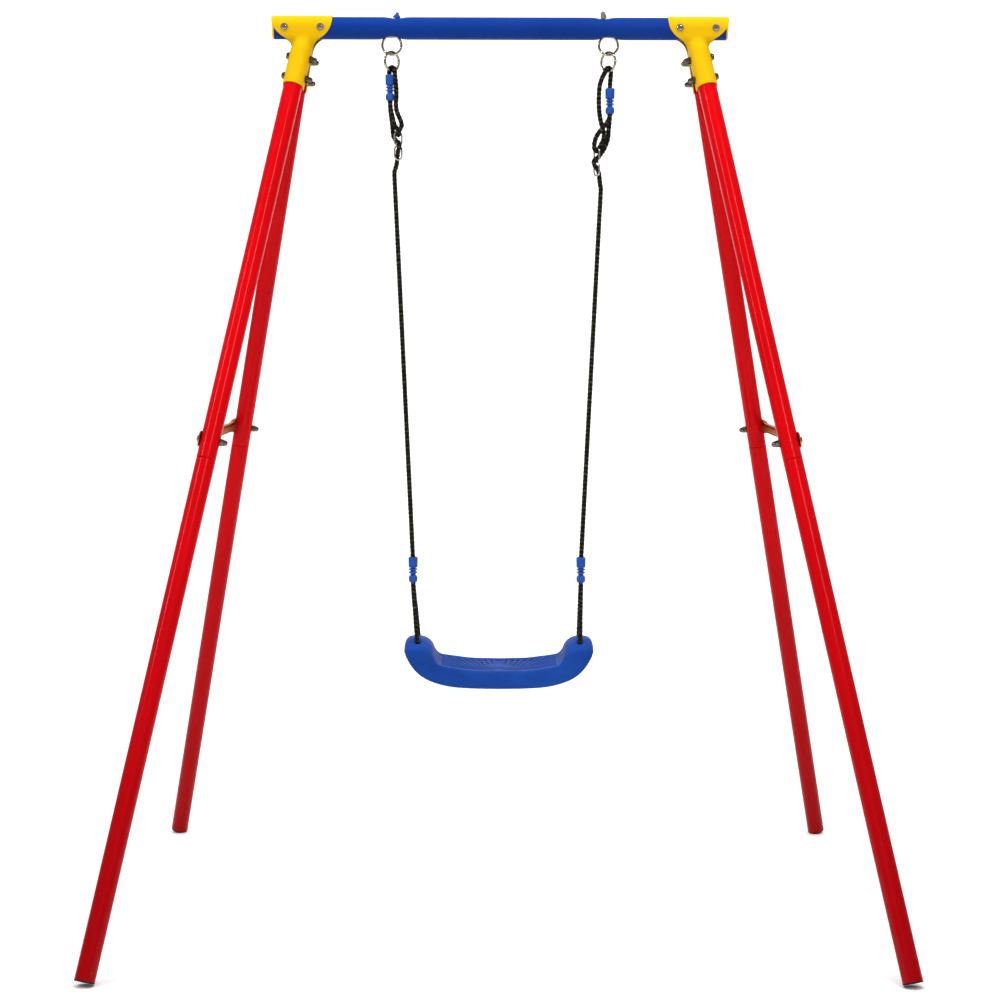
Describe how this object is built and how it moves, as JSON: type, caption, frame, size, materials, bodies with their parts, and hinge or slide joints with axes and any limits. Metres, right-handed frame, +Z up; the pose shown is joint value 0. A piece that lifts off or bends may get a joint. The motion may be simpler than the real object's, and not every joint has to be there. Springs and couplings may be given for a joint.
{
  "type": "swing set",
  "caption": "Free-standing garden swing: red tube A-frame, blue crossbeam, yellow steel brackets and a moulded blue seat hung from steel rings on black braided ropes.",
  "frame": {"origin": "on the ground under the middle of the crossbeam", "axes": "+Z up, X along the crossbeam, the swing moves along Y, and -Y is the front"},
  "size_m": [1.6932, 1.4894, 2.0167],
  "materials": {
    "red_paint": "gloss powder coat",
    "blue_paint": "satin powder coat",
    "yellow_paint": "satin powder coat",
    "yellow_plastic": "moulded, satin",
    "blue_plastic": "moulded, fine grain",
    "clamp_plastic": "moulded, semi-gloss",
    "black_plastic": "moulded, matt",
    "rope": "braided cord with a faint olive fleck",
    "zinc": "bright zinc plate",
    "yellow_zinc": "yellow zinc plate",
    "chrome_wire": "polished, slightly yellow"
  },
  "bodies": {
    "frame": {"crossbeam": "blue_paint", "beam_end_cap_left": "yellow_plastic", "beam_end_cap_right": "yellow_plastic", "bracket_left": "yellow_paint", "bracket_right": "yellow_paint", "upper_leg_front_left": "red_paint", "upper_leg_front_right": "red_paint", "upper_leg_rear_left": "red_paint", "upper_leg_rear_right": "red_paint", "lower_leg_front_left": "red_paint", "lower_leg_front_right": "red_paint", "lower_leg_rear_left": "red_paint", "lower_leg_rear_right": "red_paint", "foot_plug_front_left": "black_plastic", "foot_plug_front_right": "black_plastic", "foot_plug_rear_left": "black_plastic", "foot_plug_rear_right": "black_plastic", "spreader_left": "yellow_zinc", "spreader_right": "yellow_zinc", "beam_bolts": "zinc", "beam_bolt_washers": "zinc", "beam_bolt_nuts": "zinc", "leg_bolts": "zinc", "leg_bolt_washers": "zinc", "leg_bolt_nuts": "zinc", "spreader_bolts": "yellow_zinc", "spreader_bolt_washers": "zinc", "spreader_bolt_nuts": "zinc", "eye_bolt_left": "chrome_wire", "eye_bolt_right": "chrome_wire", "eye_bolt_washers": "zinc", "eye_bolt_nuts": "zinc", "eye_bolt_nut_cover": "blue_plastic"},
    "ropes": {"hanging_ring_left": "chrome_wire", "hanging_ring_right": "chrome_wire", "rope_loop_left": "rope", "rope_loop_right": "rope", "main_rope_left": "rope", "main_rope_right": "rope", "rope_adjuster_left": "zinc", "rope_adjuster_right": "zinc", "upper_clamp_left": "clamp_plastic", "upper_clamp_right": "clamp_plastic"},
    "seat": {"lower_clamp_left": "clamp_plastic", "lower_clamp_right": "clamp_plastic", "seat_bridle_left": "rope", "seat_bridle_right": "rope", "seat": "blue_plastic"}
  },
  "joints": [
    {"name": "swing", "type": "hinge", "parent": "frame", "child": "ropes", "pos_m": [0, 0, 1.91675], "axis": [1, 0, 0], "range_deg": [-60, 60]},
    {"name": "seat_pitch", "type": "hinge", "parent": "ropes", "child": "seat", "pos_m": [0, 0, 0.78], "axis": [1, 0, 0], "range_deg": [-20, 20]}
  ]
}
